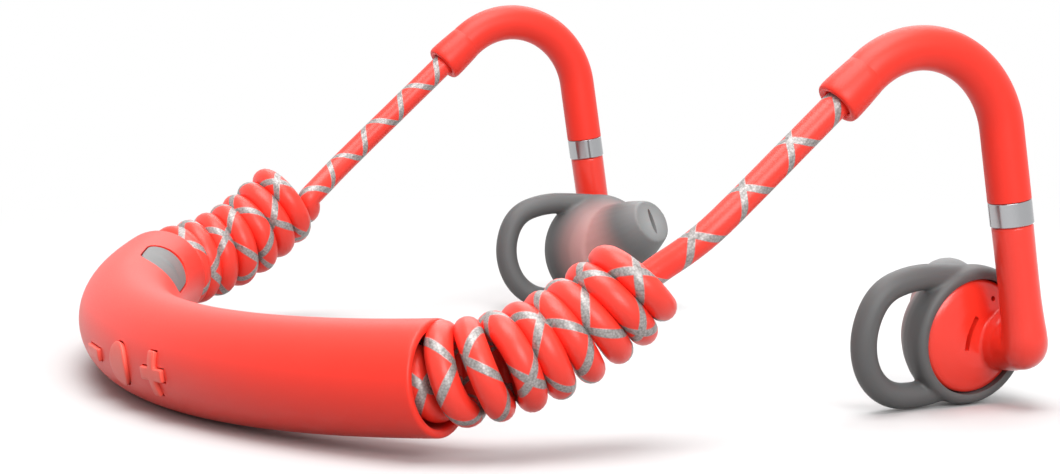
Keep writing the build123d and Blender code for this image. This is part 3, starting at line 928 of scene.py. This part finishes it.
# ---------------------------------------------------------------- studio
@dataclass
class Studio:
    """Floor, light and camera."""

    eye: Point = (0.3512, -0.1551, 0.0629)
    azimuth: float = radians(65.09)
    fall: float = radians(6.44)
    roll: float = radians(0.58)
    focal: float = 91.7
    shadow_reach: float = 0.13
    floor_tone: str = "#D6D6D6"
    floor_bounce: str = "#8C8C8C"

    def camera(self) -> None:
        """Puts the camera at its viewing angle."""
        forward = Vector((-sin(self.azimuth) * cos(self.fall), cos(self.azimuth) * cos(self.fall), -sin(self.fall)))
        right = Vector((cos(self.azimuth), sin(self.azimuth), 0))
        up = right.cross(forward)
        tilted_right = right * cos(self.roll) - up * sin(self.roll)
        tilted_up = up * cos(self.roll) + right * sin(self.roll)
        data = bpy.data.cameras.new("camera")
        data.lens = self.focal
        data.sensor_width = 36
        data.clip_start = 0.01
        camera = bpy.data.objects.new("camera", data)
        bpy.context.collection.objects.link(camera)
        turn = Matrix((tilted_right, tilted_up, -forward)).transposed().to_4x4()
        camera.matrix_world = Matrix.Translation(Vector(self.eye)) @ turn
        bpy.context.scene.camera = camera

    def lamp(self, name: str, spot: Point, target: Point, size: float, power: float) -> None:
        """A soft square lamp that faces a point."""
        data = bpy.data.lights.new(name, "AREA")
        data.size = size
        data.energy = power
        light = bpy.data.objects.new(name, data)
        bpy.context.collection.objects.link(light)
        way = Vector(target) - Vector(spot)
        light.matrix_world = Matrix.Translation(Vector(spot)) @ way.to_track_quat("-Z", "Y").to_matrix().to_4x4()

    def floor(self) -> None:
        """A pale floor that keeps the shadow and runs out to white."""
        start_fresh()
        bpy.ops.mesh.primitive_plane_add(size=12)
        floor = done(bpy.context.object, "floor")
        material, tree, shader = fresh_material("pale_floor")
        tone = add_node(tree, "ShaderNodeMix", {0: self.seen_white(tree), 6: linear(self.floor_bounce),
                                                7: linear(self.floor_tone)}, data_type="RGBA")
        tree.links.new(tone.outputs[2], shader.inputs["Base Color"])
        shader.inputs["Roughness"].default_value = 0.9
        shader.inputs["Specular IOR Level"].default_value = 0.0
        place_at = add_node(tree, "ShaderNodeTexCoord").outputs["Object"]
        reach = add_node(tree, "ShaderNodeVectorMath", {0: place_at}, operation="LENGTH")
        far = add_node(tree, "ShaderNodeMapRange", {"Value": reach.outputs["Value"], "From Min": self.shadow_reach,
                                                    "From Max": 2 * self.shadow_reach},
                       interpolation_type="SMOOTHSTEP")
        fade = add_node(tree, "ShaderNodeMath", {0: far.outputs["Result"], 1: self.seen_white(tree)},
                        operation="MULTIPLY")
        white = add_node(tree, "ShaderNodeEmission", {"Color": (1, 1, 1, 1), "Strength": 1.0})
        mixed = add_node(tree, "ShaderNodeMixShader", {0: fade.outputs[0], 1: shader.outputs["BSDF"],
                                                       2: white.outputs[0]})
        output = next(node for node in tree.nodes if node.type == "OUTPUT_MATERIAL")
        tree.links.new(mixed.outputs[0], output.inputs["Surface"])
        floor.data.materials.append(material)

    def seen_white(self, tree: bpy.types.NodeTree) -> bpy.types.NodeSocket:
        """1 for what the camera sees, straight or in a reflection or through glass, else 0."""
        path = add_node(tree, "ShaderNodeLightPath")
        seen = add_node(tree, "ShaderNodeMath", {0: path.outputs["Is Camera Ray"],
                                                 1: path.outputs["Is Glossy Ray"]}, operation="MAXIMUM")
        clear = add_node(tree, "ShaderNodeMath", {0: seen.outputs[0],
                                                  1: path.outputs["Is Transmission Ray"]}, operation="MAXIMUM")
        return clear.outputs[0]

    def world(self) -> None:
        """An even pale sky that looks white to the camera and in reflections."""
        world = bpy.data.worlds.new("sky")
        world.use_nodes = True
        bpy.context.scene.world = world
        tree = world.node_tree
        tree.nodes.clear()
        strength = add_node(tree, "ShaderNodeMapRange", {"Value": self.seen_white(tree), "To Min": 0.40,
                                                         "To Max": 1.0})
        sky = add_node(tree, "ShaderNodeBackground", {"Color": (1, 1, 1, 1), "Strength": strength.outputs["Result"]})
        output = add_node(tree, "ShaderNodeOutputWorld")
        tree.links.new(sky.outputs[0], output.inputs["Surface"])

    def build(self) -> None:
        """Sets the whole studio up."""
        self.camera()
        self.floor()
        self.world()
        self.lamp("top", (0.10, -0.10, 0.75), (0, 0, 0), 0.6, 6.0)
        self.lamp("behind", (-0.40, 0.28, 0.55), (0, 0, 0.02), 0.6, 2.2)
        self.lamp("front", (0.75, -0.05, 0.35), (0.03, 0, 0.03), 0.45, 4.2)
        bpy.context.scene.view_settings.view_transform = "Standard"


# ---------------------------------------------------------------- assembly
def build_neckband(coral: bpy.types.Material, sign: bpy.types.Material, grey: bpy.types.Material) -> None:
    """Makes and dresses the neckband's visible pieces."""
    band = Neckband()
    dress(band.skin(), coral, "coral_silicone", "root", "neckband_sleeve")
    for kind in band.button_angles:
        dress(band.button(kind), sign, "coral_button", kind + "_button", "button_" + kind)
    dress(band.flap(), grey, "flap_silicone", "port_flap", "port_cover")
    log.info("neckband, three buttons and the charging flap")


def build_cords(finish: CordFinish) -> None:
    """Makes both sides' cords, each in three stretches that meet ring to ring."""
    cord = ArmCord()
    material = finish.material()
    centres, rings, reaches = cord.rings()
    split = next(i for i, point in enumerate(centres) if point.y > -0.0200)
    leave = next(i for i, point in enumerate(centres) if i > split and point.y > -0.0005)
    spans = (("coil_root", 0, split, "coil_inner"), ("coil_turns", split, leave, "coil_outer"),
             ("cord_run", leave, len(centres) - 1, "straight_cord"))
    for name, first, last, node in spans:
        chosen = centres[first:last + 1]
        right = cord.tube(name + "_right", rings[first:last + 1], reaches[first:last + 1], finish.pitch_mm * MM)
        left = mirrored(right, name + "_left")
        for side, piece in ((Side.RIGHT, right), (Side.LEFT, left)):
            path = [(p.x * side.sign, p.y, p.z) for p in chosen]
            body = {"coil_root": None, "coil_turns": None, "cord_run": "arm_" + side.label}[name]
            dress(piece, material, "woven_cord", body, node + "_" + side.label)
            if name == "coil_root":
                0.0565 * side.sign
                0.0596 * side.sign
                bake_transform(piece)
            elif name == "coil_turns":
                0.0600 * side.sign
                0.0620 * side.sign
                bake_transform(piece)
    log.info("cords: %.0f mm on each side", reaches[-1] / MM)


def build_arms(coral: bpy.types.Material, gloss: bpy.types.Material, metal: bpy.types.Material) -> None:
    """Makes both ear hooks and buds."""
    hook = EarHook()
    bud = Earbud()
    pieces = [
        (hook.sleeve(), coral, "coral_silicone", ("hook_sleeve",)),
        (hook.collar(), metal, "bright_metal", ("ring_collar",)),
        (bud.back(hook), gloss, "coral_plastic", ("bud_back_cup",)),
        (bud.adapter(), None, "grey_silicone", ("ear_adapter",)),
    ]
    for right, material, slot, nodes in pieces:
        left = mirrored(right, right.name.replace("_right", "_left"))
        for side, piece in ((Side.RIGHT, right), (Side.LEFT, left)):
            cup, tip = bud.local(0, 0, -5.5), bud.nozzle_tip()
            cup.x *= side.sign
            tip.x *= side.sign
            finish = material or AdapterFinish().material(cup, tip)
            dress(piece, finish, slot, "arm_" + side.label, *(node + "_" + side.label for node in nodes))
    log.info("ear hooks, collars, discs and ear adapters")


def dress_inner_nodes() -> None:
    """Gives every construction node that stays its own plain finish."""
    finishes = {
        "coral_plastic": MouldedFinish("coral_plastic_inner", "#F7503F", "#F0402F", 0.35),
        "steel": MetalFinish("drawn_steel", "#B9BBBE", 0.3),
        "dark_plastic": MouldedFinish("black_abs", "#1C1C1E", "#151517", 0.45),
        "inner_tube": MouldedFinish("clear_tpu_core", "#C9C9C9", "#BFBFBF", 0.4),
        "cell_can": MetalFinish("drawn_aluminium_can", "#C8CACC", 0.35),
        "circuit_board": MouldedFinish("solder_mask", "#0F5A2C", "#0C4A25", 0.3),
        "chip": MouldedFinish("epoxy_package", "#202022", "#18181A", 0.5),
        "lens": MouldedFinish("milky_light_pipe", "#E8E4E0", "#DDD9D5", 0.25),
        "magnet": MetalFinish("nickel_plate", "#BDBAB2", 0.2),
        "copper": MetalFinish("enamelled_copper", "#B4643A", 0.3),
        "film": MouldedFinish("pet_film", "#BFBFC2", "#B2B2B6", 0.25),
        "steel_mesh": MetalFinish("woven_steel_mesh", "#3A3A3C", 0.45),
    }
    slots = {row["node"]: row["material_slot"] for row in frame["record"]["subparts"]}
    made = {}
    for name, node in frame["nodes"].items():
        slot = slots.get(name)
        if slot not in finishes or node.hide_render:
            continue
        if slot not in made:
            made[slot] = finishes[slot].material()
        for place_in in node.material_slots:
            place_in.material = made[slot]
    log.info("inner nodes: %d finishes", len(made))


def main() -> None:
    """Builds the studio, the cords and then each sub-assembly."""
    logging.basicConfig(level=logging.INFO, format="%(message)s")
    Studio().build()
    build_cords(CordFinish())
    coral = MouldedFinish("coral_silicone_skin", "#FC3A2A", "#FA3424", 0.42, glow=0.05, bloom=0.04).material()
    sign = MouldedFinish("coral_silicone_sign", "#FF6455", "#FE5C4D", 0.4).material()
    gloss = MouldedFinish("coral_gloss_tpu", "#F93C2B", "#F53424", 0.3, grain_depth_mm=0.004, coat=0.35).material()
    grey = MouldedFinish("grey_silicone_flap", "#7C7C7C", "#747474", 0.5).material()
    metal = MetalFinish("polished_steel_collar", "#A9AAAC", 0.12).material()
    build_neckband(coral, sign, grey)
    build_arms(coral, gloss, metal)
    dress_inner_nodes()


if __name__ == "__main__":
    main()
